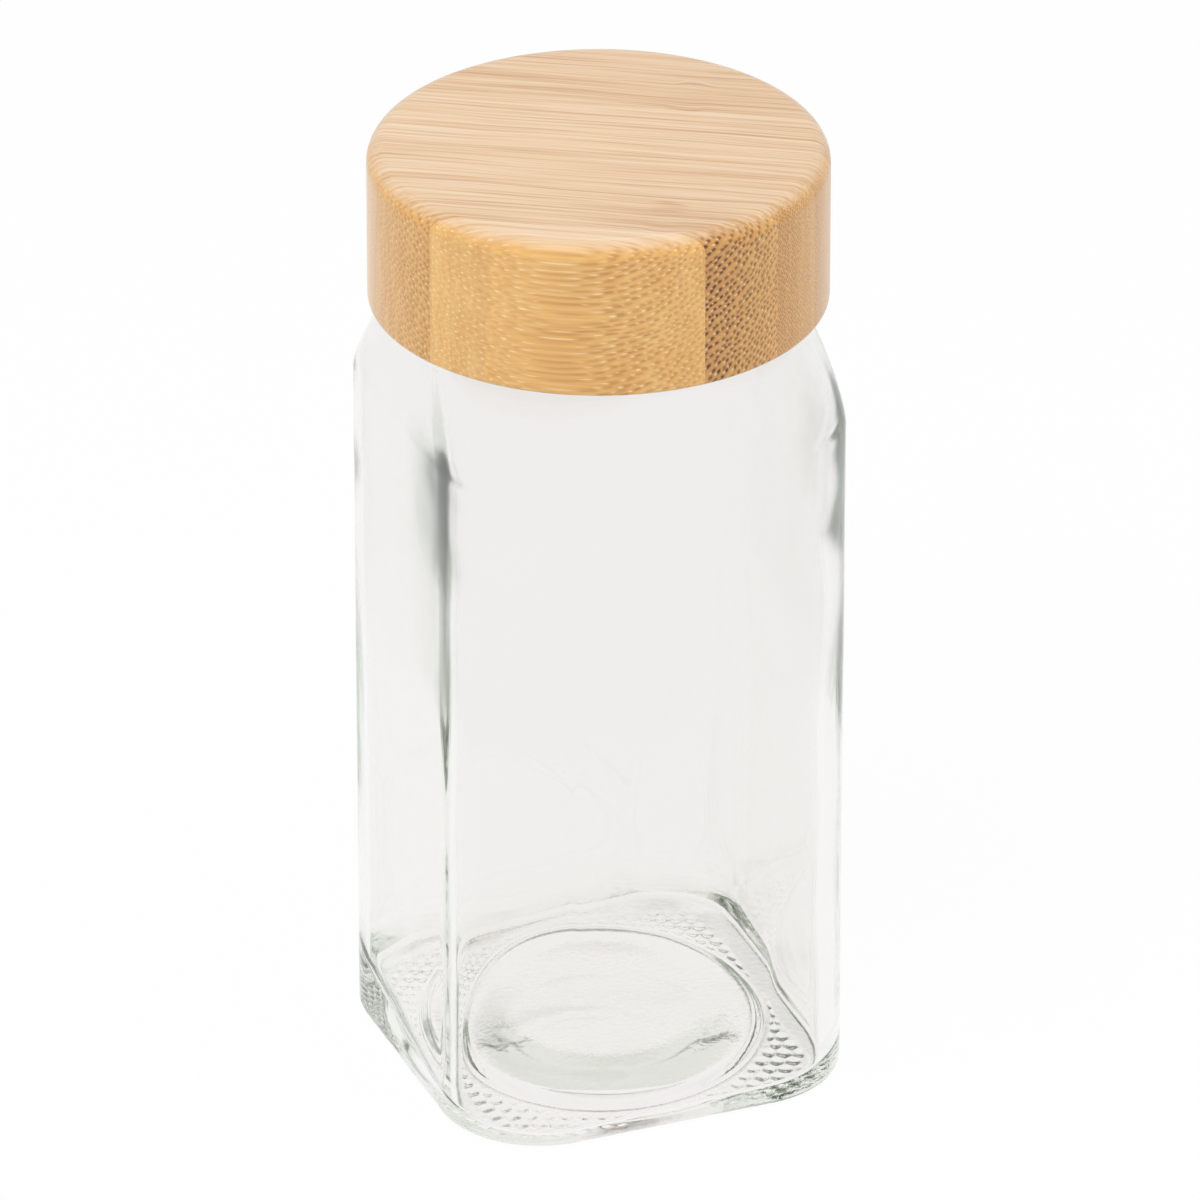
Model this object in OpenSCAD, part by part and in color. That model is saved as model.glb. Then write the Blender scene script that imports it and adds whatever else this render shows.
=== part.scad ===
// Square glass spice jar with a turned bamboo screw lid and a shaker insert.
// The jar stands on z = 0 with its axis on the Z axis and its flat sides square to X and Y.

/* [Glass body] */
// Width across the flat sides
body_w = 44; // [40:0.5:60]
// Radius of the upright corners
corner_r = 11; // [8:0.5:14]
// Thickness of the side walls
wall_t = 2.3; // [1.6:0.1:3]
// Thickness of the base inside its heel
base_t = 3.4; // [2.6:0.2:6]
// Rounding of the outer heel
heel_r = 1.2; // [0.6:0.1:2]
// Rounding between the inner floor and the walls
floor_r = 2; // [1:0.5:4]
// Height at which the straight corners end
wall_h = 73; // [50:1:120]

/* [Push-up under the base] */
// Diameter of the push-up's edge
punt_d = 34; // [24:1:36]
// Rise of the push-up at its middle
punt_rise = 1.8; // [1:0.1:2.2]
// Step at the push-up's edge
punt_step = 0.5; // [0.2:0.1:0.8]
// Diameter of the raised middle of the inner floor
kick_d = 30; // [20:1:32]
// Rise of the inner floor at its middle
kick_rise = 1.4; // [0.6:0.1:2]

/* [Shoulder] */
// Height of the domed shoulder
shoulder_h = 13.8; // [10:0.2:24]
// Width of the ledge outside the neck
ledge_w = 1.8; // [1:0.1:2]
// How long the flat sides stay flat as the shoulder rises
side_fullness = 3; // [2:0.1:4]
// How long the corners stay full as the shoulder rises
corner_fullness = 2; // [1.6:0.1:3]

/* [Neck] */
// Outer diameter of the neck between its threads
neck_d = 37.2; // [34:0.2:38]
// Height of the neck above the shoulder
neck_h = 9.5; // [8:0.5:14]
// Wall of the neck
neck_t = 2.2; // [1.6:0.1:3]
// Rounding of the lip
lip_r = 0.8; // [0.4:0.1:1]
// How far the bead stands out at the foot of the neck
bead_out = 0.9; // [0.5:0.1:1.1]
// Height of the bead
bead_h = 1.8; // [1:0.1:2.4]

/* [Shaker insert] */
// Thickness of the shaker's plate
plate_t = 1; // [0.8:0.1:1.6]
// How far the plate's edge stays inside the outside of the lip
plate_inset = 0.2; // [0:0.1:0.6]
// Depth of the plug in the neck
plug_h = 6; // [4:0.5:8]
// Wall of the plug
plug_t = 1; // [0.8:0.1:1.4]
// Gap between the plug and the neck
plug_gap = 0.05; // [0.02:0.01:0.2]
// Diameter of a shaker hole
hole_d = 5; // [4.4:0.1:6]
// Shaker holes round the middle one
hole_count = 6; // [4:1:6]
// Diameter of the ring of holes
hole_ring_d = 19; // [17:0.5:20]

/* [Gasket] */
// Thickness of the sealing disc
gasket_t = 1.2; // [0.8:0.1:2]
// Gap between the disc and the thread insert
gasket_gap = 0.3; // [0.2:0.05:0.4]

/* [Thread insert] */
// Room between the neck and the insert for both threads
thread_room = 1.5; // [1.3:0.1:1.8]
// Wall of the insert
insert_t = 1.1; // [0.8:0.1:1.3]
// Thickness of the insert's top
insert_top_t = 1; // [0.8:0.1:1.6]
// How far the insert's lower edge lies inside the lid
insert_inset = 0.5; // [0.2:0.1:1]
// Glue gap round the insert
glue_gap = 0.1; // [0.05:0.05:0.2]
// Glue ribs round the insert
rib_count = 24; // [12:2:36]

/* [Bamboo lid] */
// Wall of the lid round the thread insert
lid_wall = 2.35; // [1.8:0.05:6]
// Thickness of the lid's crown
crown_t = 4.4; // [3.5:0.1:8]
// Rounding of the upper edge
lid_edge_r = 2; // [1:0.1:3]
// Rounding of the lower edge
lid_foot_r = 0.4; // [0.2:0.1:0.8]
// Gap between the lid's lower edge and the shoulder's ledge
lid_gap = 0.2; // [0.2:0.1:1]

/* [Hidden] */
$fn = 96;
corner_steps = 10;
dome_steps = 9;
round_steps = 3;
eps = 0.01;
cut = 1;

neck_r = neck_d / 2;
bore_r = neck_r - neck_t;
ledge_z = wall_h + shoulder_h;
rim_z = ledge_z + neck_h;
plate_z = rim_z + plate_t;
insert_ceiling_z = plate_z + gasket_t;
insert_top_z = insert_ceiling_z + insert_top_t;
lid_top_z = insert_top_z + crown_t;
lid_foot_z = ledge_z + lid_gap;
insert_foot_z = lid_foot_z + insert_inset;
insert_bore_r = neck_r + thread_room;
insert_r = insert_bore_r + insert_t;
rib_r = insert_t / 4;
recess_r = insert_r + glue_gap;
lid_r = recess_r + lid_wall;
throat_z = ledge_z - wall_t;
throat_flat = 0.97;

// A quarter of a superellipse: 1 at t = 0, falling to 0 at t = 1
function arch(t, n) = pow(max(0, 1 - pow(t, n)), 1 / n);

// The height of step i of the dome, with the steps closer together near its top
function dome_t(i) = sin(90 * i / dome_steps);

// One level section of a body: its half width, the radius of its corners and its height
function foot_section(half, r, z, edge, a) =
    [half - edge * (1 - sin(a)), r - edge * (1 - sin(a)), z + edge * (1 - cos(a))];

// The shoulder changes from the square at its foot to a near circle at its top
function dome_section(half, r, top_half, z, h, t) =
    let (w = top_half + (half - top_half) * arch(t, side_fullness))
    let (roundness = throat_flat - (throat_flat - r / half) * arch(t, corner_fullness))
    [w, roundness * w, z + h * t];

// All the sections from the foot of a body to the top of its shoulder
function body_sections(half, r, edge, foot_z, top_half, dome_z, top_z) = concat(
    [for (i = [0:round_steps]) foot_section(half, r, foot_z, edge, 90 * i / round_steps)],
    [for (i = [0:dome_steps]) dome_section(half, r, top_half, dome_z, top_z - dome_z, dome_t(i))]
);

// The corner points of one section, anticlockwise from the +X side
function section_points(s) = [
    for (q = [0:3])
        for (i = [0:corner_steps])
            let (a = 90 * (q + i / corner_steps))
            let (c = s[0] - s[1])
            let (cx = (q == 0 || q == 3) ? c : -c)
            let (cy = (q < 2) ? c : -c)
            [cx + s[1] * cos(a), cy + s[1] * sin(a), s[2]]
];

// A solid skinned over a stack of sections
module loft(sections) {
    n = 4 * (corner_steps + 1);
    last = len(sections) - 1;
    points = [for (s = sections) each section_points(s)];
    sides = [
        for (k = [0:last - 1])
            for (i = [0:n - 1])
                let (a = k * n + i)
                let (b = k * n + (i + 1) % n)
                each [[a, a + n, b], [b, a + n, b + n]]
    ];
    foot = [for (i = [0:n - 1]) i];
    top = [for (i = [0:n - 1]) last * n + n - 1 - i];
    polyhedron(points = points, faces = concat(sides, [foot, top]));
}

// The outside of the glass up to the ledge round the neck
module glass_outside() {
    loft(body_sections(body_w / 2, corner_r, heel_r, 0, neck_r + ledge_w, wall_h, ledge_z));
}

// The inside of the glass, an even wall in from the outside
module glass_inside() {
    loft(body_sections(body_w / 2 - wall_t, corner_r - wall_t, floor_r, base_t, bore_r, wall_h, throat_z));
}

// Half section of the neck, with a rounded lip and the bead at its foot
module neck_profile() {
    lip_in = neck_r - lip_r;
    translate([0, ledge_z - eps]) square([neck_r, neck_h - lip_r + eps]);
    translate([0, ledge_z]) square([lip_in, neck_h]);
    translate([lip_in, rim_z - lip_r]) circle(r = lip_r);
    translate([0, ledge_z - eps]) square([neck_r + bead_out, bead_h / 2 + eps]);
    translate([neck_r + bead_out - bead_h / 2, ledge_z + bead_h / 2]) circle(d = bead_h);
}

// The radius of a ball whose cap has that width and rise
function cap_r(width, rise) = (pow(width / 2, 2) + pow(rise, 2)) / (2 * rise);

// The push-up under the base: a shallow dome inside a small step
module punt() {
    dome_r = cap_r(punt_d, punt_rise - punt_step);
    translate([0, 0, -cut]) cylinder(d = punt_d, h = punt_step + cut);
    intersection() {
        translate([0, 0, punt_rise - dome_r]) sphere(r = dome_r);
        cylinder(d = punt_d, h = punt_rise + cut);
    }
}

// The inner floor follows the push-up as a shallow dome
module kick() {
    dome_r = cap_r(kick_d, kick_rise);
    translate([0, 0, base_t + kick_rise - dome_r]) sphere(r = dome_r);
}

module glass_jar() {
    color([0.86, 0.92, 0.9, 0.4])
    difference() {
        union() {
            glass_outside();
            rotate_extrude() neck_profile();
        }
        difference() {
            glass_inside();
            kick();
        }
        translate([0, 0, throat_z - eps]) cylinder(r = bore_r, h = rim_z - throat_z + cut);
        punt();
    }
}

// Push-fit sifter: a plate on the lip, and a plug in the neck
module shaker_insert() {
    plug_r = bore_r - plug_gap;
    color([0.95, 0.95, 0.94])
    difference() {
        union() {
            translate([0, 0, rim_z]) cylinder(r = neck_r - plate_inset, h = plate_t);
            translate([0, 0, rim_z - plug_h]) cylinder(r = plug_r, h = plug_h + plate_t / 2);
        }
        translate([0, 0, rim_z - plug_h - cut]) cylinder(r = plug_r - plug_t, h = plug_h + cut);
        translate([0, 0, rim_z - cut]) shaker_holes();
    }
}

module shaker_holes() {
    cylinder(d = hole_d, h = plate_t + 2 * cut);
    for (i = [0:hole_count - 1]) {
        rotate([0, 0, 360 * i / hole_count])
            translate([hole_ring_d / 2, 0, 0])
                cylinder(d = hole_d, h = plate_t + 2 * cut);
    }
}

// Soft disc that the lid presses on the shaker's plate and the lip
module gasket() {
    color([0.9, 0.9, 0.88])
    translate([0, 0, plate_z]) cylinder(r = insert_bore_r - gasket_gap, h = gasket_t);
}

// Moulded cup glued into the lid, which carries the lid's thread
module thread_insert() {
    color([0.93, 0.93, 0.92])
    difference() {
        union() {
            translate([0, 0, insert_foot_z]) cylinder(r = insert_r, h = insert_top_z - insert_foot_z);
            glue_ribs();
        }
        translate([0, 0, insert_foot_z - cut])
            cylinder(r = insert_bore_r, h = insert_ceiling_z - insert_foot_z + cut);
        translate([0, 0, insert_foot_z - eps])
            cylinder(r1 = insert_bore_r + insert_t / 2, r2 = insert_bore_r, h = insert_t / 2);
    }
}

// Upright half-round ribs that key the insert into the glue
module glue_ribs() {
    for (i = [0:rib_count - 1]) {
        rotate([0, 0, 360 * (i + 0.5) / rib_count])
            translate([insert_r - rib_r + glue_gap / 2, 0, insert_foot_z + cut])
                cylinder(r = rib_r, h = insert_ceiling_z - insert_foot_z - cut, $fn = 24);
    }
}

// Half section of the lid: a turned disc with a rounded upper edge and a recess for the insert
module lid_profile() {
    edge_in = lid_r - lid_edge_r;
    foot_in = lid_r - lid_foot_r;
    difference() {
        union() {
            translate([0, lid_foot_z]) square([foot_in, lid_top_z - lid_foot_z - lid_edge_r]);
            translate([0, lid_foot_z + lid_foot_r])
                square([lid_r, lid_top_z - lid_foot_z - lid_foot_r - lid_edge_r]);
            translate([0, lid_foot_z + lid_foot_r]) square([edge_in, lid_top_z - lid_foot_z - lid_foot_r]);
            translate([edge_in, lid_top_z - lid_edge_r]) circle(r = lid_edge_r);
            translate([foot_in, lid_foot_z + lid_foot_r]) circle(r = lid_foot_r);
        }
        translate([-cut, lid_foot_z - cut])
            square([recess_r + cut, insert_top_z - lid_foot_z + cut]);
    }
}

module bamboo_lid() {
    color([0.86, 0.66, 0.4])
    rotate_extrude() lid_profile();
}

glass_jar();
shaker_insert();
gasket();
thread_insert();
bamboo_lid();
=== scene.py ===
"""Square glass spice jar with a turned bamboo screw lid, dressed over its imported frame."""

from math import cos, pi, radians, sin, tau

import bpy
import numpy as np
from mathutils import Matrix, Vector


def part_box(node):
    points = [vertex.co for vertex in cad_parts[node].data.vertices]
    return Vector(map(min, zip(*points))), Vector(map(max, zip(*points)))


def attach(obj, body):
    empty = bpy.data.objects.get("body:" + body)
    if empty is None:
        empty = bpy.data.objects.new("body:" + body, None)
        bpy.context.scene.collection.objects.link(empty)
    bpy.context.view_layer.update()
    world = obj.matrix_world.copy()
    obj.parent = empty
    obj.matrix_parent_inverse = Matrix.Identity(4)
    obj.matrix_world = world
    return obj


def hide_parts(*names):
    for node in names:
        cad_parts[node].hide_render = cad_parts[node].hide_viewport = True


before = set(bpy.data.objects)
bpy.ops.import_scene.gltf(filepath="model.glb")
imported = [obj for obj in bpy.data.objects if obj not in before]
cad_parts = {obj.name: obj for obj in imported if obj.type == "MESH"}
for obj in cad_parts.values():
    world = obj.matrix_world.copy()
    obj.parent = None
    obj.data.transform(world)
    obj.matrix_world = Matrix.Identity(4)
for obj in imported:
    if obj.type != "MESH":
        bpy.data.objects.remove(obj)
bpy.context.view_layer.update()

# Glass jar
# One piece of pressed and blown soda-lime glass: a square body with rounded upright corners, a
# domed shoulder, a heavy base with a round push-up and a stippled border to stand on, and a round
# neck with a raised screw thread. Its inside is smooth but a little uneven, as blown glass is.
mm = 0.001
jar_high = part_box("glass_jar")[1]
jar_half = jar_high.x / mm
rim_z = jar_high.z / mm
corner_radius = 11.0
wall = 2.3
inner_corner_radius = 8.7
straight_z = 75.5
ledge_z = 86.8
neck_radius = 18.6
bore_radius = 16.4
throat_z = 85.5
ledge_half = 19.6
shoulder_powers = (1.5, 1.2)
inner_shoulder_powers = (1.8, 1.4)
bead_radius = 0.9
lip_radius = 0.8
bore_edge = 0.5
heel_radius = 1.3
floor_z = 3.5
thin_rounding = 0.9
thick_rounding = 4.6
thick_side = radians(110)
kick_radius = 13.0
kick_slope = 7.0
kick_rise = 1.1
floor_lean = (0.033, 0.114)
lean_full_z = 8.0
lean_top_z = 30.0
punt_radius = 17.0
punt_rise = 1.9
punt_slope = 1.2
border_gap = 0.5
stipple_depth = 0.17
stipple_pitch = 1.76
stipple_radius = 0.7
stipple_angle = radians(-21.7)
stipple_inner = 17.7
stipple_half = 17.9
stipple_corner = 6.0
stipple_fade = 0.4
thread_pitch = 4.233
thread_start_z = 90.0
thread_height = 1.0
thread_half_width = 1.05
thread_turns = 1.15
thread_fade = 0.5
corner_thinning = 0.3
shoulder_thinning = 0.5
thinning_low = 61.0
thinning_blend = 8.0
thinning_top = 76.0
thinning_end = 6.0
foot_thickening = 0.14
foot_end_z = 35.0
middle_start_z = 55.0
even_throat = 6
even_floor = 12
haze_start = 0.044
haze_full = 0.050
upper_haze = 0.09
wall_rows = 34
inner_heel_rows = 10
floor_rows = 44
jar_columns = 480


def square_radius(theta, half, corner):
    """Distance from the axis to a square with round corners, at angle theta. On a flat side it is
    the half width over the cosine of the angle to that side; on a corner it is where the ray meets
    the corner's circle, whose centre is half - corner out along both sides."""
    c, s = np.abs(np.cos(theta)), np.abs(np.sin(theta))
    centre = half - corner
    flat = half / np.maximum(c, s)
    spread = np.maximum(corner**2 - (centre * (c - s)) ** 2, 0)
    rounded = centre * (c + s) + np.sqrt(spread)
    on_flat = np.minimum(c, s) * half <= centre * np.maximum(c, s)
    return np.where(on_flat, flat, rounded)


def line(start, end, count):
    """Points from start to end, without the last one, each a row of (half width, corner, z)."""
    t = np.linspace(0, 1, count, endpoint=False)[:, None]
    return np.array(start) * (1 - t) + np.array(end) * t


def edge(start, end, count):
    """Rows of a straight stretch of a round outline, from start to end, each (radius, z)."""
    return line((start[0], start[0], start[1]), (end[0], end[0], end[1]), count)


def arc(centre_r, centre_z, radius, first, last, count):
    """Rows of a circular section whose radius and height follow an arc from the angle first to the
    angle last, in degrees, without the last point."""
    a = np.radians(np.linspace(first, last, count, endpoint=False))
    r = centre_r + radius * np.cos(a)
    return np.stack([r, r, centre_z + radius * np.sin(a)], 1)


def dome(half, corner, z, top_half, top_corner, top_z, count, side_power, corner_power):
    """Rows of a shoulder that changes from a square with round corners to a circle. The width and
    the roundness each follow a quarter of a superellipse in the height, with a power of its own."""
    t = np.sin(np.linspace(0, pi / 2, count, endpoint=False))
    width = top_half + (half - top_half) * (1 - t**side_power) ** (1 / side_power)
    full = (1 - t**corner_power) ** (1 / corner_power)
    top_share = top_corner / top_half
    share = top_share + (corner / half - top_share) * full
    return np.stack([width, share * width, z + (top_z - z) * t], 1)


def helix_ridge(theta, z, start_z, pitch, turns, height, half_width, fade):
    """Height of a screw thread: a rounded ridge along z = start_z + pitch * angle / full turn, over
    that many turns, fading out over the angle fade at both ends."""
    lap = np.round((z - start_z) / pitch - theta / tau)
    along = theta + tau * lap
    off = (z - start_z - pitch * along / tau) / half_width
    ridge = np.clip(1 - off**2, 0, 1) ** 0.75
    ends = np.clip(along / fade, 0, 1) * np.clip((turns * tau - along) / fade, 0, 1)
    return height * ridge * np.sqrt(ends)


def hex_dimples(x, y, pitch, radius):
    """A hexagonal field of round bumps: 1 at the middle of a bump, falling as a parabola to 0."""
    row_step = pitch * np.sqrt(3) / 2
    best = np.full(x.shape, np.inf)
    for nudge in (0, 1):
        row = 2 * np.round((y / row_step - nudge) / 2) + nudge
        across = pitch * (np.round(x / pitch - nudge / 2) + nudge / 2)
        best = np.minimum(best, np.hypot(x - across, y - row * row_step))
    return np.clip(1 - (best / radius) ** 2, 0, 1)


def turned_mesh(name, radius, height, columns):
    """A closed mesh from rows of points round the Z axis. radius and height are arrays of one row
    for each step of the outline and one column for each angle. The outline starts on the axis
    underneath and ends on the axis on top, and each end closes on one point."""
    theta = np.linspace(0, tau, columns, endpoint=False)
    x, y = radius * np.cos(theta), radius * np.sin(theta)
    body = np.stack([x, y, height], 2)[1:-1].reshape(-1, 3)
    ends = np.array([[0, 0, height[0].mean()], [0, 0, height[-1].mean()]])
    points = np.concatenate([body, ends]) * mm
    rows = radius.shape[0] - 2
    at = np.arange(rows * columns).reshape(rows, columns)
    beside = np.roll(at, -1, 1)
    quads = np.stack([at[:-1], beside[:-1], beside[1:], at[1:]], 2).reshape(-1, 4)
    foot, top = rows * columns, rows * columns + 1
    fans = [[foot, b, a] for a, b in zip(at[0], beside[0])]
    fans += [[top, a, b] for a, b in zip(at[-1], beside[-1])]
    mesh = bpy.data.meshes.new(name)
    mesh.from_pydata(points.tolist(), [], quads.tolist() + fans)
    mesh.shade_smooth()
    piece = bpy.data.objects.new(name, mesh)
    bpy.context.scene.collection.objects.link(piece)
    return piece


def shader_node(tree, kind, values=None, **settings):
    """A new node of that kind in the tree. values gives each input, by name or number, a plain
    value or another node's output to link."""
    made = tree.nodes.new("ShaderNode" + kind)
    for key, value in settings.items():
        setattr(made, key, value)
    for key, value in (values or {}).items():
        if isinstance(value, bpy.types.NodeSocket):
            tree.links.new(value, made.inputs[key])
        else:
            made.inputs[key].default_value = value
    return made


def new_material(name):
    """An empty node material, with its tree and its output node."""
    made = bpy.data.materials.new(name)
    made.use_nodes = True
    made.node_tree.nodes.clear()
    return made, made.node_tree, shader_node(made.node_tree, "OutputMaterial")


def clear_glass():
    """Clear soda-lime glass: faintly green in the depth, with a slow ripple of the fire polish, the
    mould's fine texture on the standing border, and a slight haze in the upper half. Shadow rays
    pass straight through, so that the floor isn't darkened as by a solid piece."""
    made, tree, out = new_material("clear_glass")
    place = shader_node(tree, "TexCoord").outputs["Object"]
    ripple = shader_node(tree, "TexNoise", {"Vector": place, "Scale": 90.0, "Detail": 1.0})
    bump = shader_node(tree, "Bump", {
        "Height": ripple.outputs[0], "Strength": 0.12, "Distance": 0.0004,
    })
    mould = shader_node(tree, "TexNoise", {"Vector": place, "Scale": 1500.0, "Detail": 3.0})
    low = shader_node(tree, "SeparateXYZ", {0: place}).outputs[2]
    under = shader_node(tree, "MapRange", {0: low, 1: 0.0026, 2: 0.0018, 3: 0.0, 4: 0.09}).outputs[0]
    bump = shader_node(tree, "Bump", {
        "Height": mould.outputs[0], "Strength": under, "Distance": 0.0002, "Normal": bump.outputs[0],
    })
    haze_range = {0: low, 1: haze_start, 2: haze_full, 3: 0.0, 4: upper_haze}
    cloudy = shader_node(tree, "MapRange", haze_range).outputs[0]
    glass = shader_node(tree, "BsdfPrincipled", {
        "Base Color": (0.95, 0.938, 0.93, 1), "Roughness": cloudy, "IOR": 1.5,
        "Transmission Weight": 1.0, "Normal": bump.outputs[0],
    })
    through = shader_node(tree, "BsdfTransparent", {"Color": (0.93, 0.935, 0.93, 1)})
    path = shader_node(tree, "LightPath")
    mixed = shader_node(tree, "MixShader", {
        0: path.outputs["Is Shadow Ray"], 1: glass.outputs[0], 2: through.outputs[0],
    })
    depth = shader_node(tree, "VolumeAbsorption", {"Color": (0.62, 0.71, 0.58, 1), "Density": 12.0})
    tree.links.new(mixed.outputs[0], out.inputs["Surface"])
    tree.links.new(depth.outputs[0], out.inputs["Volume"])
    return made


def smooth_drop(r, start, end):
    """1 up to r = start and 0 from r = end on, with a smooth S between."""
    t = np.clip((end - r) / (end - start), 0, 1)
    return t * t * (3 - 2 * t)


def jar_rows():
    """Rows of (half width, corner radius, z) along the jar's outline, from the middle of the
    push-up, out over the standing border, up the outside, over the lip and down the inside."""
    heel_half = jar_half - heel_radius
    heel_corner = corner_radius - heel_radius
    inner_half = jar_half - wall
    heel = np.radians(np.linspace(0, 90, 6, endpoint=False))
    border_start = punt_radius + border_gap
    border = line((border_start, border_start, 0), (heel_half, heel_corner, 0), 30)
    punt_r = np.linspace(0, punt_radius, 40, endpoint=False)
    punt_z = punt_rise * smooth_drop(punt_r, punt_radius - punt_slope, punt_radius)
    foot = (jar_half, corner_radius, heel_radius)
    ledge_end = neck_radius + bead_radius
    neck_foot_z = ledge_z + 2 * bead_radius
    neck_top_z = rim_z - lip_radius
    return {
        "punt": np.stack([punt_r, punt_r, punt_z], 1),
        "punt step": line((punt_radius, punt_radius, 0), border[0], 2),
        "border": border,
        "heel": np.stack([
            heel_half + heel_radius * np.sin(heel),
            heel_corner + heel_radius * np.sin(heel),
            heel_radius * (1 - np.cos(heel)),
        ], 1),
        "outer wall": line(foot, (jar_half, corner_radius, straight_z), 12),
        "shoulder": dome(
            jar_half, corner_radius, straight_z, ledge_half, ledge_half, ledge_z, 40, *shoulder_powers
        ),
        "ledge": line((ledge_half, ledge_half, ledge_z), (ledge_end, ledge_end, ledge_z), 2),
        "bead": arc(neck_radius, ledge_z + bead_radius, bead_radius, -45, 90, 7),
        "neck": edge((neck_radius, neck_foot_z), (neck_radius, neck_top_z), 34),
        "lip": arc(neck_radius - lip_radius, neck_top_z, lip_radius, 0, 90, 5),
        "lip inside": arc(bore_radius + bore_edge, rim_z - bore_edge, bore_edge, 90, 180, 4),
        "bore": edge((bore_radius, rim_z - bore_edge), (bore_radius, throat_z), 5),
        "inner shoulder": dome(
            inner_half, inner_corner_radius, straight_z,
            bore_radius, bore_radius, throat_z, 36, *inner_shoulder_powers
        )[:0:-1],
    }


def floor_rounding(theta):
    """Radius of the rounding between the inner floor and the walls: it grows from the thin side of
    the base to the thick side, with the cube of half of one plus the cosine of the angle between."""
    share = 0.5 + 0.5 * np.cos(theta - thick_side)
    return thin_rounding + (thick_rounding - thin_rounding) * share**3


def inner_foot(theta):
    """Radius and height arrays of the lower inside, from the straight wall down a quarter round to
    the floor and on to the middle. The floor's rows change from square to round, and its middle
    stands higher by the kick. The floor leans in proportion to x and y, and the lean fades out up
    the wall. With these values it passes up to 0.2 mm below the top of the push-up, over about 55
    degrees on the thin side."""
    edge_radius = floor_rounding(theta)
    inner_half = jar_half - wall
    t = np.linspace(0, 1, wall_rows, endpoint=False)[:, None]
    wall_radius = square_radius(theta, inner_half + 0 * t, inner_corner_radius)
    wall_z = straight_z * (1 - t) + (floor_z + edge_radius) * t
    f = np.radians(np.linspace(90, 0, inner_heel_rows, endpoint=False))[:, None]
    inset = edge_radius * (1 - np.sin(f))
    heel_radius_now = square_radius(theta, inner_half - inset, inner_corner_radius - inset)
    heel_z = floor_z + edge_radius * (1 - np.cos(f))
    share = np.linspace(1, 0.02, floor_rows)[:, None]
    width = (inner_half - edge_radius) * share
    corner_share = (inner_corner_radius - edge_radius) / (inner_half - edge_radius)
    roundness = 1 - (1 - corner_share) * np.clip((share - 0.5) / 0.5, 0, 1) ** 2
    floor_r = square_radius(theta, width, roundness * width)
    rise = kick_rise * smooth_drop(floor_r, kick_radius - kick_slope / 2, kick_radius + kick_slope / 2)
    radius = np.concatenate([wall_radius, heel_radius_now, floor_r])
    height = np.concatenate([wall_z + 0 * theta, heel_z, floor_z + rise])
    lean = radius * (floor_lean[0] * np.cos(theta) + floor_lean[1] * np.sin(theta))
    height += lean * np.clip((lean_top_z - height) / (lean_top_z - lean_full_z), 0, 1)
    return radius, height


def blown_unevenness(theta, z):
    """How far the inner wall lies in from its true place: a few slow waves up and round the jar,
    less the glass that is missing where it was blown out into the corners. Most is missing below
    the shoulder, and near the base the corners are a little thicker than the sides."""
    corner = np.sin(2 * theta) ** 2
    high = smooth_drop(-z, -thinning_low - thinning_blend, -thinning_low)
    high = high * smooth_drop(z, thinning_top, thinning_top + thinning_end)
    waves = 0.5 * np.sin(z / 7.1 + 2 * theta) + 0.3 * np.sin(z / 3.7 - 3 * theta + 1.0)
    waves += 0.35 * np.sin(z / 13.0 + 5 * theta + 0.6)
    middle = smooth_drop(-z, -middle_start_z, -foot_end_z)
    missing = corner_thinning * middle + shoulder_thinning * high - foot_thickening * (1 - middle)
    missing = missing * corner
    return (0.05 + 0.06 * corner**2) * waves - missing


def jar_mesh():
    """The jar's closed surface: each row is a square with round corners, and the thread, the
    stipple and the unevenness of the inside are added to the radius or the height."""
    rows = jar_rows()
    theta = np.linspace(0, tau, jar_columns, endpoint=False)[None, :]
    half, corner, z = (column[:, None] for column in np.concatenate(list(rows.values())).T)
    foot_radius, foot_height = inner_foot(theta)
    radius = np.concatenate([square_radius(theta, half, np.minimum(corner, half)), foot_radius])
    height = np.concatenate([np.repeat(z, jar_columns, 1), foot_height])
    starts = dict(zip(rows, np.cumsum([0] + [len(r) for r in rows.values()])))

    neck = slice(starts["neck"], starts["lip"])
    radius[neck] += helix_ridge(
        theta, height[neck], thread_start_z, thread_pitch, thread_turns,
        thread_height, thread_half_width, thread_fade
    )
    inside = slice(starts["inner shoulder"], -(inner_heel_rows + floor_rows))
    fade = np.clip((throat_z - height[inside]) / even_throat, 0, 1)
    fade = fade * np.clip((height[inside] - floor_z) / even_floor, 0, 1)
    radius[inside] -= blown_unevenness(theta, height[inside]) * fade

    border = slice(starts["border"], starts["heel"])
    x, y = radius[border] * np.cos(theta), radius[border] * np.sin(theta)
    turned_x = x * cos(stipple_angle) + y * sin(stipple_angle)
    turned_y = y * cos(stipple_angle) - x * sin(stipple_angle)
    bumps = hex_dimples(turned_x, turned_y, stipple_pitch, stipple_radius)
    outer_edge = square_radius(theta, stipple_half, stipple_corner)
    shown = np.clip((radius[border] - stipple_inner) / stipple_fade, 0, 1)
    shown = shown * np.clip((outer_edge - radius[border]) / stipple_fade, 0, 1)
    height[border] += stipple_depth * (1 - bumps * shown)
    step = slice(starts["punt step"], starts["border"])
    height[step] += stipple_depth * np.linspace(0, 1, height[step].shape[0])[:, None]
    heel = slice(starts["heel"], starts["outer wall"])
    height[heel] += stipple_depth * np.linspace(1, 0, height[heel].shape[0])[:, None]
    return turned_mesh("glass_jar_dressed", radius, height, jar_columns)


jar = jar_mesh()
jar.data.materials.append(clear_glass())
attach(jar, "jar")
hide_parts("glass_jar")

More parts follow.
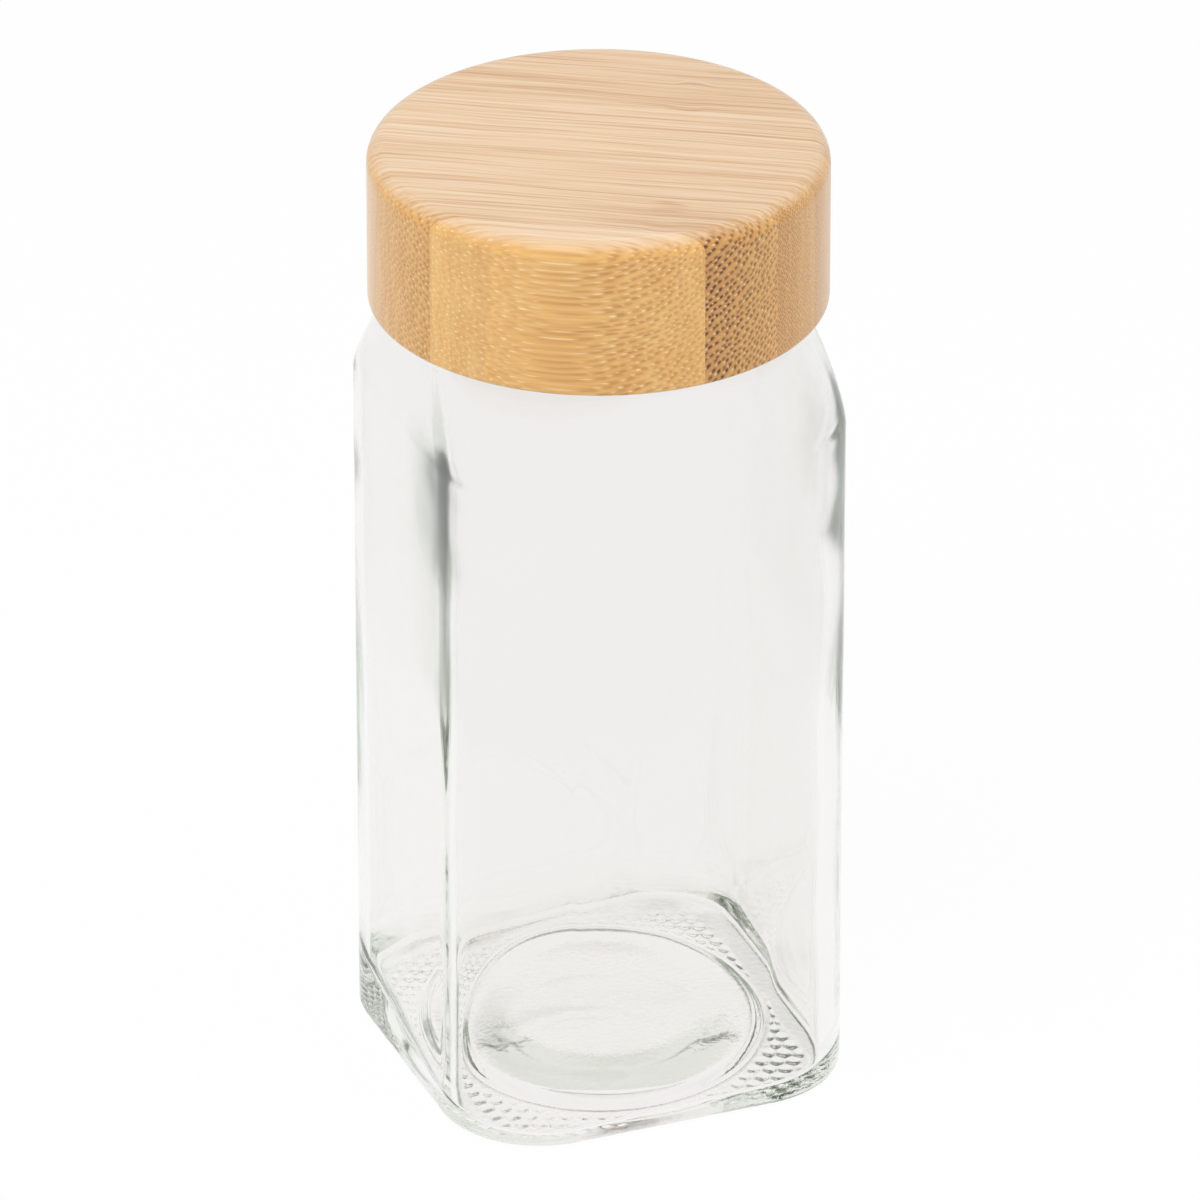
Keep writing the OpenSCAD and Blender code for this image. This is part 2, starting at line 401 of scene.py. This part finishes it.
# Bamboo lid
# A blank of edge-glued bamboo slats, turned to a thick disc with a rounded upper edge, bored for
# the thread insert, sanded and given a thin satin lacquer. The fibres lie level, so the side shows
# them end on, as pores, at two places and lengthwise in between.
lid_low, lid_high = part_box("bamboo_lid")
lid_radius = min(lid_high.x, -lid_low.x) / mm
lid_top_z = lid_high.z / mm
lid_foot_z = lid_low.z / mm
lid_edge_radius = 2.0
lid_foot_radius = 0.4
recess_radius = 21.3
recess_chamfer = 0.3
crown = 4.4
fibre_angle = radians(-31.2)
slat_pitch = 6.95
front_joint = 19.0


def round_rows(*stretches):
    """Joins stretches of an outline, each a list of (radius, z) with the last point left out."""
    return np.concatenate(stretches)


def lid_rows():
    """The lid's outline, from the middle of the recess's ceiling to the middle of the top."""
    ceiling = lid_top_z - crown
    shoulder_r = lid_radius - lid_edge_radius
    foot_r = lid_radius - lid_foot_radius
    mouth_r = recess_radius + recess_chamfer
    side_top_z = lid_top_z - lid_edge_radius
    return round_rows(
        edge((0, ceiling), (recess_radius, ceiling), 8),
        edge((recess_radius, ceiling), (recess_radius, lid_foot_z + recess_chamfer), 8),
        edge((recess_radius, lid_foot_z + recess_chamfer), (mouth_r, lid_foot_z), 3),
        edge((mouth_r, lid_foot_z), (foot_r, lid_foot_z), 4),
        arc(foot_r, lid_foot_z + lid_foot_radius, lid_foot_radius, -90, 0, 5),
        edge((lid_radius, lid_foot_z + lid_foot_radius), (lid_radius, side_top_z), 24),
        arc(shoulder_r, side_top_z, lid_edge_radius, 0, 90, 14),
        edge((shoulder_r, lid_top_z), (0, lid_top_z), 20),
        edge((0, lid_top_z), (0, lid_top_z), 1),
    )


def turned_piece(name, rows, columns):
    """A closed turned piece from its outline."""
    radius = np.repeat(rows[:, :1], columns, 1)
    height = np.repeat(rows[:, 2:], columns, 1)
    return turned_mesh(name, radius, height, columns)


def maths(tree, operation, *values):
    """The output of a Math node on these values or sockets."""
    return shader_node(tree, "Math", dict(enumerate(values)), operation=operation).outputs[0]


def ramp(tree, value, stops):
    """A colour ramp on a value. stops are (place, colour) pairs, with straight blends between."""
    made = shader_node(tree, "ValToRGB", {0: value})
    bar = made.color_ramp
    bar.interpolation = "LINEAR"
    for i, (place, colour) in enumerate(stops):
        stop = bar.elements[i] if i < 2 else bar.elements.new(place)
        stop.position = place
        stop.color = (*colour, 1)
    return made.outputs[0]


def blended(tree, share, first, second):
    """A Mix node from the first colour to the second. share is a node's output, and a colour is a
    node's output or a plain value."""
    made = tree.nodes.new("ShaderNodeMix")
    made.data_type = "RGBA"
    made.blend_type = "MIX"
    for index, value in ((0, share), (6, first), (7, second)):
        if isinstance(value, bpy.types.NodeSocket):
            tree.links.new(value, made.inputs[index])
        else:
            made.inputs[index].default_value = (*value, 1)
    return made.outputs[2]


def laminated_bamboo():
    """Bamboo slats side by side. The pattern is solid: the pores are worked out in the plane across
    the fibres and hardly change along them, so a cut across shows pores and a cut along shows
    streaks. Each slat has its own tone, pore size and darkness, and is dense and dark on its skin
    side. Towards one end of the fibres the pores and the skin grow darker: denser pores, and painted
    shade on the side the key lamp lights less. Two slats have a node, where the fibres bend. The top
    shows the fibres' long sides, so it has fine lines and hardly any pores, and it is paler, partly
    from that grain and partly as painted sheen of the white surround."""
    made, tree, out = new_material("laminated_bamboo")
    place = shader_node(tree, "TexCoord").outputs["Object"]

    def in_mm(axis):
        dot = shader_node(tree, "VectorMath", {0: place, 1: axis}, operation="DOT_PRODUCT")
        return maths(tree, "MULTIPLY", dot.outputs["Value"], 1000.0)

    def times(*values):
        product = values[0]
        for value in values[1:]:
            product = maths(tree, "MULTIPLY", product, value)
        return product

    def plus(first, second):
        return maths(tree, "ADD", first, second)

    def minus(first, second):
        return maths(tree, "SUBTRACT", first, second)

    def between(value, low, high, low_value=0.0, high_value=1.0):
        inputs = {0: value, 1: low, 2: high, 3: low_value, 4: high_value}
        return shader_node(tree, "MapRange", inputs, interpolation_type="SMOOTHSTEP").outputs[0]

    def noise(vector, scale, detail):
        return shader_node(tree, "TexNoise", {"Vector": vector, "Scale": scale, "Detail": detail})

    def vector(x, y, z):
        return shader_node(tree, "CombineXYZ", {0: x, 1: y, 2: z}).outputs[0]

    along = in_mm((cos(fibre_angle), sin(fibre_angle), 0))
    across = in_mm((sin(fibre_angle), -cos(fibre_angle), 0))
    up = in_mm((0, 0, 1))
    count = maths(tree, "DIVIDE", minus(front_joint, across), slat_pitch)
    slat = maths(tree, "FLOOR", count)
    depth = maths(tree, "FRACT", count)
    slat_share = maths(tree, "DIVIDE", plus(slat, 1.5), 8.0)

    def by_slat(values):
        steps = shader_node(tree, "ValToRGB", {0: slat_share})
        bar = steps.color_ramp
        bar.interpolation = "CONSTANT"
        for i, value in enumerate(values):
            stop = bar.elements[i] if i < 2 else bar.elements.new(i / 8)
            stop.position = i / 8
            stop.color = (value, value, value, 1)
        return steps.outputs[0]

    cell = by_slat((0.64, 0.74, 0.46, 0.5, 0.6, 0.7, 0.65, 0.7))
    darkness = by_slat((0.62, 1.0, 0.7, 0.5, 0.6, 0.7, 0.6, 0.7))
    tone = by_slat((0.74, 0.48, 0.56, 0.56, 0.6, 0.42, 0.56, 0.42))
    node_place = times(minus(by_slat((0.0, 0.658, 0.0, 0.0, 0.0, 0.623, 0.0, 0.0)), 0.5), 60.0)
    node = between(maths(tree, "ABSOLUTE", minus(along, node_place)), 0.4, 2.6, 1.0, 0.0)

    slow = noise(vector(times(along, 0.05), times(across, 0.25), times(up, 0.25)), 1.0, 1.0)
    slow = shader_node(tree, "SeparateColor", {0: slow.outputs["Color"]})
    bend = times(node, minus(depth, 0.5), 0.9)
    bent_across = plus(plus(across, times(slow.outputs[0], 1.0)), bend)
    bent_up = plus(up, times(slow.outputs[1], 1.6))
    u = maths(tree, "DIVIDE", bent_across, cell)
    v = maths(tree, "DIVIDE", bent_up, times(cell, 1.2))
    section = vector(plus(u, v), minus(u, v), times(slat, 7.3))
    pores = {"Vector": section, "Scale": 1.0, "Randomness": 0.5}
    pores = shader_node(tree, "TexVoronoi", pores, voronoi_dimensions="2D")
    off = {0: section, 1: pores.outputs["Position"]}
    off = shader_node(tree, "VectorMath", off, operation="SUBTRACT")
    off = shader_node(tree, "SeparateXYZ", {0: off.outputs[0]})
    off_across = times(plus(off.outputs[0], off.outputs[1]), 0.5)
    off_up = minus(times(minus(off.outputs[0], off.outputs[1]), 0.5), times(off_across, -0.45))

    def spot(shift, wide, tall, soft):
        dx = maths(tree, "DIVIDE", minus(off_across, shift), wide)
        dz = maths(tree, "DIVIDE", off_up, tall)
        far = maths(tree, "SQRT", plus(times(dx, dx), times(dz, dz)))
        return between(far, 1.0 - soft, 1.0 + soft, 1.0, 0.0)

    vigour = shader_node(tree, "SeparateColor", {0: pores.outputs["Color"]}).outputs[0]
    # Pores and skin brown darken towards one end of the fibres: denser pores there, and painted shade
    # on the side the key lamp lights less.
    right_end_shade_and_pores = between(along, -6.0, 9.0)
    skin_side = maths(tree, "POWER", minus(1.0, depth), 1.2)
    dark_share = times(darkness, plus(0.5, times(skin_side, 0.65)), plus(0.3, times(right_end_shade_and_pores, 0.7)))
    dark_share = times(dark_share, plus(0.65, times(vigour, 0.35)))
    dark = times(spot(0.0, 0.22, 0.19, 0.4), dark_share)
    stain = times(spot(0.0, 0.46, 0.42, 0.5), dark_share, 0.62)
    pale = times(spot(0.3, 0.16, 0.11, 0.6), plus(0.2, times(vigour, 0.6)))

    grain_at = vector(times(along, 0.06), times(bent_across, 3.8), times(up, 3.8))
    grain = noise(grain_at, 1.0, 5.0).outputs[0]
    band_at = vector(times(along, 0.015), times(bent_across, 1.1), times(up, 0.15))
    band = noise(band_at, 1.0, 3.0).outputs[0]
    line_at = vector(times(along, 0.035), times(bent_across, 2.9), 2.0)
    fine_line = noise(line_at, 1.0, 4.0).outputs[0]
    streak_at = vector(times(along, 0.05), times(bent_across, 1.7), 4.0)
    streak = between(noise(streak_at, 1.0, 3.0).outputs[0], 0.54, 0.66)

    facing = shader_node(tree, "SeparateXYZ", {0: shader_node(tree, "NewGeometry").outputs["Normal"]})
    on_top = between(facing.outputs[2], 0.35, 0.97)
    lift = plus(times(minus(grain, 0.5), 1.1), times(minus(band, 0.5), 0.9))
    side_base = ramp(tree, plus(tone, lift), (
        (0.0, (0.60, 0.29, 0.075)), (0.5, (0.74, 0.40, 0.113)), (1.0, (0.85, 0.53, 0.195)),
    ))
    # The top's colours are paler partly from its lengthwise grain and partly as painted sheen of the
    # white surround.
    top_lift = plus(times(minus(fine_line, 0.5), 2.2), times(lift, 0.9))
    top_grain_and_sheen = ramp(tree, plus(tone, top_lift), (
        (0.0, (0.54, 0.29, 0.125)), (0.5, (0.725, 0.495, 0.29)), (1.0, (0.80, 0.605, 0.41)),
    ))
    base = blended(tree, on_top, side_base, top_grain_and_sheen)
    # The skin's brown is strongest towards that end, which is partly painted shade.
    brown = times(skin_side, darkness, plus(0.2, times(right_end_shade_and_pores, 0.8)), 0.42)
    base = blended(tree, times(brown, minus(1.0, times(on_top, 0.75))), base, (0.42, 0.185, 0.045))
    mark = times(streak, plus(0.2, times(node, 0.5)))
    base = blended(tree, mark, base, (0.50, 0.25, 0.10))
    side_share = minus(1.0, times(on_top, 0.85))
    stained = blended(tree, times(stain, side_share), base, (0.42, 0.165, 0.03))
    pore_brown = blended(tree, between(darkness, 0.6, 0.9), (0.40, 0.155, 0.025), (0.10, 0.022, 0.0))
    pored = blended(tree, times(dark, side_share), stained, pore_brown)
    colour = blended(tree, times(pale, side_share), pored, (0.90, 0.68, 0.38))

    relief = minus(times(grain, 0.35), dark)
    bump = shader_node(tree, "Bump", {"Height": relief, "Strength": 0.3, "Distance": 0.0001})
    shine = shader_node(tree, "MapRange", {0: grain, 1: 0.2, 2: 0.8, 3: 0.36, 4: 0.5}).outputs[0]
    wood = shader_node(tree, "BsdfPrincipled", {
        "Base Color": colour, "Roughness": shine, "IOR": 1.45, "Coat Weight": 0.5,
        "Coat Roughness": 0.18, "Sheen Weight": 0.3, "Sheen Roughness": 0.3, "Normal": bump.outputs[0],
    })
    tree.links.new(wood.outputs[0], out.inputs["Surface"])
    return made


lid = turned_piece("bamboo_lid_dressed", lid_rows(), 384)
lid.data.materials.append(laminated_bamboo())
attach(lid, "lid")
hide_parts("bamboo_lid")

# Thread insert
# A moulded polypropylene cup glued into the lid. The inside carries the lid's screw thread, which
# runs just under the jar's own thread, and the closed end holds the gasket.
def moulded_plastic(name, colour):
    """Satin polypropylene, with the faint mottle and the fine grain of the mould."""
    made, tree, out = new_material(name)
    place = shader_node(tree, "TexCoord").outputs["Object"]
    mottle = shader_node(tree, "TexNoise", {"Vector": place, "Scale": 240.0, "Detail": 3.0}).outputs[0]
    fine = shader_node(tree, "TexNoise", {"Vector": place, "Scale": 2600.0, "Detail": 2.0}).outputs[0]
    tint = ramp(tree, mottle, ((0.3, tuple(0.95 * c for c in colour)), (0.7, colour)))
    bump = shader_node(tree, "Bump", {"Height": fine, "Strength": 0.15, "Distance": 0.00005})
    shine = shader_node(tree, "MapRange", {0: mottle, 1: 0.2, 2: 0.8, 3: 0.32, 4: 0.45}).outputs[0]
    plastic = shader_node(tree, "BsdfPrincipled", {
        "Base Color": tint, "Roughness": shine, "IOR": 1.49, "Subsurface Weight": 0.1,
        "Subsurface Scale": 0.002, "Normal": bump.outputs[0],
    })
    tree.links.new(plastic.outputs[0], out.inputs["Surface"])
    return made


insert_low, insert_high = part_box("thread_insert")
insert_foot_z = insert_low.z / mm
insert_top_z = insert_high.z / mm
insert_bore = 20.1
insert_radius = 21.2
insert_ceiling_z = insert_top_z - 1.0
insert_ceiling_edge = 0.3
insert_mouth_width = 0.5
insert_mouth_height = 0.55
insert_foot_edge = 0.2
insert_top_edge = 0.4
insert_thread_drop = 1.9
insert_thread_turns = 1.2
insert_thread_height = 0.9
insert_thread_half_width = 0.85
insert_thread_fade = 0.6
insert_columns = 288


def insert_mesh():
    """The cup's outline turned round the axis, with the thread's ridge taken off the bore."""
    bore_top_z = insert_ceiling_z - insert_ceiling_edge
    mouth_z = insert_foot_z + insert_mouth_height
    mouth_r = insert_bore + insert_mouth_width
    foot_r = insert_radius - insert_foot_edge
    top_r = insert_radius - insert_top_edge
    ceiling_r = insert_bore - insert_ceiling_edge
    side_top_z = insert_top_z - insert_top_edge
    inner = edge((insert_bore, bore_top_z), (insert_bore, mouth_z), 60)
    before = round_rows(
        edge((0, insert_ceiling_z), (ceiling_r, insert_ceiling_z), 8),
        edge((ceiling_r, insert_ceiling_z), (insert_bore, bore_top_z), 3),
    )
    after = round_rows(
        edge((insert_bore, mouth_z), (mouth_r, insert_foot_z), 4),
        edge((mouth_r, insert_foot_z), (foot_r, insert_foot_z), 3),
        edge((foot_r, insert_foot_z), (insert_radius, insert_foot_z + insert_foot_edge), 3),
        edge((insert_radius, insert_foot_z + insert_foot_edge), (insert_radius, side_top_z), 8),
        edge((insert_radius, side_top_z), (top_r, insert_top_z), 3),
        edge((top_r, insert_top_z), (0, insert_top_z), 6),
        edge((0, insert_top_z), (0, insert_top_z), 1),
    )
    rows = np.concatenate([before, inner, after])
    theta = np.linspace(0, tau, insert_columns, endpoint=False)[None, :]
    radius = np.repeat(rows[:, :1], insert_columns, 1)
    height = np.repeat(rows[:, 2:], insert_columns, 1)
    bore = slice(len(before), len(before) + len(inner))
    radius[bore] -= helix_ridge(
        theta, height[bore], thread_start_z - insert_thread_drop, thread_pitch, insert_thread_turns,
        insert_thread_height, insert_thread_half_width, insert_thread_fade
    )
    return turned_mesh("thread_insert_dressed", radius, height, insert_columns)


insert = insert_mesh()
insert.data.materials.append(moulded_plastic("white_polypropylene", (0.86, 0.86, 0.84)))
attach(insert, "lid")
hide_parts("thread_insert")

# Gasket
# A die-cut disc of soft expanded polyethylene that lies loose in the closed end of the insert. The
# lip of the jar has pressed a shallow ring into its underside.
gasket_low, gasket_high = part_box("gasket")
gasket_radius = gasket_high.x / mm
gasket_foot_z = gasket_low.z / mm
gasket_top_z = gasket_high.z / mm
gasket_edge = 0.25
pressed_depth = 0.12
pressed_radius = 17.4
pressed_width = 0.9


def gasket_rows():
    """The disc's outline, with the pressed ring as two smooth steps in the underside."""
    edge_r = gasket_radius - gasket_edge
    r = np.linspace(0, edge_r, 48, endpoint=False)
    pressed = pressed_depth * np.exp(-(((r - pressed_radius) / pressed_width) ** 4))
    under = np.stack([r, r, gasket_foot_z + pressed], 1)
    return round_rows(
        under,
        arc(edge_r, gasket_foot_z + gasket_edge, gasket_edge, -90, 0, 4),
        arc(edge_r, gasket_top_z - gasket_edge, gasket_edge, 0, 90, 4),
        edge((edge_r, gasket_top_z), (0, gasket_top_z), 8),
        edge((0, gasket_top_z), (0, gasket_top_z), 1),
    )


def foam():
    """Closed-cell foam: matt, off-white, with a fine cell pattern pressed flat by the skin."""
    made, tree, out = new_material("soft_gasket")
    place = shader_node(tree, "TexCoord").outputs["Object"]
    cells = shader_node(tree, "TexVoronoi", {"Vector": place, "Scale": 2200.0}).outputs["Distance"]
    haze = shader_node(tree, "TexNoise", {"Vector": place, "Scale": 150.0, "Detail": 3.0}).outputs[0]
    tint = ramp(tree, haze, ((0.3, (0.78, 0.78, 0.75)), (0.7, (0.86, 0.86, 0.84))))
    bump = shader_node(tree, "Bump", {"Height": cells, "Strength": 0.3, "Distance": 0.00008})
    shine = shader_node(tree, "MapRange", {0: cells, 1: 0.0, 2: 1.0, 3: 0.55, 4: 0.8}).outputs[0]
    soft = shader_node(tree, "BsdfPrincipled", {
        "Base Color": tint, "Roughness": shine, "Subsurface Weight": 0.15,
        "Subsurface Scale": 0.001, "Normal": bump.outputs[0],
    })
    tree.links.new(soft.outputs[0], out.inputs["Surface"])
    return made


gasket = turned_piece("gasket_dressed", gasket_rows(), 192)
gasket.data.materials.append(foam())
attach(gasket, "seal")
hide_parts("gasket")

# Shaker insert
# A moulded polypropylene sifter: a plate that lies on the lip, with seven round holes, and a plug
# that grips the inside of the neck.
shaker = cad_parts["shaker_insert"]
shaker.data.materials.clear()
shaker.data.materials.append(bpy.data.materials["white_polypropylene"])

# Floor, backdrop and light
# A pale floor that runs to a white surround, a large soft key lamp, a fill lamp from the right and
# a small weak lamp behind the jar, which is the only one that shows in the gloss.
camera_azimuth = radians(-21.7)
camera_elevation = radians(28.03)
camera_distance = 1.351
camera_lens = 391.6
aim_shift = 0.00015
aim = Vector((aim_shift * cos(camera_azimuth), aim_shift * sin(camera_azimuth), 0.0513))
rim_towards_camera = (-0.370, -0.929)
rim_angle = radians(132)
rim_distance = 0.9


def studio_white(name, share, lit):
    """A pale surface that the camera, mirrors and glass see as nearly white, and that still takes
    a faint shadow: a share of plain white over a lit pale surface."""
    made, tree, out = new_material(name)
    path = shader_node(tree, "LightPath")
    seen = maths(tree, "MAXIMUM", path.outputs["Is Camera Ray"], path.outputs["Is Transmission Ray"])
    seen = maths(tree, "MAXIMUM", seen, path.outputs["Is Glossy Ray"])
    pale = shader_node(tree, "BsdfDiffuse", {"Color": (lit, lit, lit, 1)})
    white = shader_node(tree, "Emission", {"Color": (1, 1, 1, 1), "Strength": 1.0})
    mixed = shader_node(tree, "MixShader", {
        0: maths(tree, "MULTIPLY", seen, share), 1: pale.outputs[0], 2: white.outputs[0],
    })
    tree.links.new(mixed.outputs[0], out.inputs["Surface"])
    return made


floor_size = 1.6
floor_mesh = bpy.data.meshes.new("studio_floor")
floor_corners = [(x, y, 0.0) for x, y in ((-1, -1), (1, -1), (1, 1), (-1, 1))]
floor_points = [(x * floor_size, y * floor_size, z) for x, y, z in floor_corners]
floor_mesh.from_pydata(floor_points, [], [(0, 1, 2, 3)])
floor = bpy.data.objects.new("studio_floor", floor_mesh)
floor.data.materials.append(studio_white("studio_floor", 0.96, 0.9))
bpy.context.scene.collection.objects.link(floor)


def studio_world():
    """White wherever the camera, mirrors or glass look, and a soft even light for the rest."""
    world = bpy.data.worlds.new("studio")
    world.use_nodes = True
    tree = world.node_tree
    tree.nodes.clear()
    path = shader_node(tree, "LightPath")
    seen = maths(tree, "MAXIMUM", path.outputs["Is Camera Ray"], path.outputs["Is Transmission Ray"])
    seen = maths(tree, "MAXIMUM", seen, path.outputs["Is Glossy Ray"])
    soft = shader_node(tree, "Background", {"Color": (1, 1, 1, 1), "Strength": 0.46})
    white = shader_node(tree, "Background", {"Color": (1, 1, 1, 1), "Strength": 1.0})
    mixed = shader_node(tree, "MixShader", {0: seen, 1: soft.outputs[0], 2: white.outputs[0]})
    shader_node(tree, "OutputWorld", {"Surface": mixed.outputs[0]})
    bpy.context.scene.world = world


def soft_lamp(name, place, size, power):
    """A square area lamp that faces the middle of the jar. Neither the gloss nor the glass shows it,
    unless that is changed on the lamp that this returns."""
    light = bpy.data.lights.new(name, "AREA")
    light.shape = "SQUARE"
    light.size = size
    light.energy = power
    lamp = bpy.data.objects.new(name, light)
    lamp.location = place
    lamp.visible_glossy = False
    lamp.visible_transmission = False
    lamp.rotation_euler = (aim - Vector(place)).to_track_quat("-Z", "Y").to_euler()
    bpy.context.scene.collection.objects.link(lamp)
    return lamp


studio_world()
soft_lamp("key", (-0.35, -0.25, 0.75), 0.5, 4.6)
soft_lamp("fill", (0.6, -0.5, 0.35), 0.5, 1.67)
rim_x, rim_y = rim_towards_camera
rim_way = Vector((rim_x * cos(rim_angle), rim_y * cos(rim_angle), sin(rim_angle)))
rim_lamp = soft_lamp("rim", tuple(rim_distance * rim_way), 0.12, 0.15)
rim_lamp.visible_glossy = True

camera_data = bpy.data.cameras.new("camera")
camera_data.lens = camera_lens
camera_data.sensor_width = 36
camera_data.clip_end = 20
camera = bpy.data.objects.new("camera", camera_data)
towards = Vector((
    sin(camera_azimuth) * cos(camera_elevation),
    -cos(camera_azimuth) * cos(camera_elevation),
    sin(camera_elevation),
))
camera.location = aim + camera_distance * towards
camera.rotation_euler = (-towards).to_track_quat("-Z", "Y").to_euler()
bpy.context.scene.collection.objects.link(camera)
bpy.context.scene.camera = camera

bpy.context.scene.view_settings.view_transform = "Standard"

# Light that is caught in the thick base is reflected many times before it leaves the glass.
bpy.context.scene.cycles.max_bounces = 40
bpy.context.scene.cycles.transmission_bounces = 40
bpy.context.scene.cycles.glossy_bounces = 40
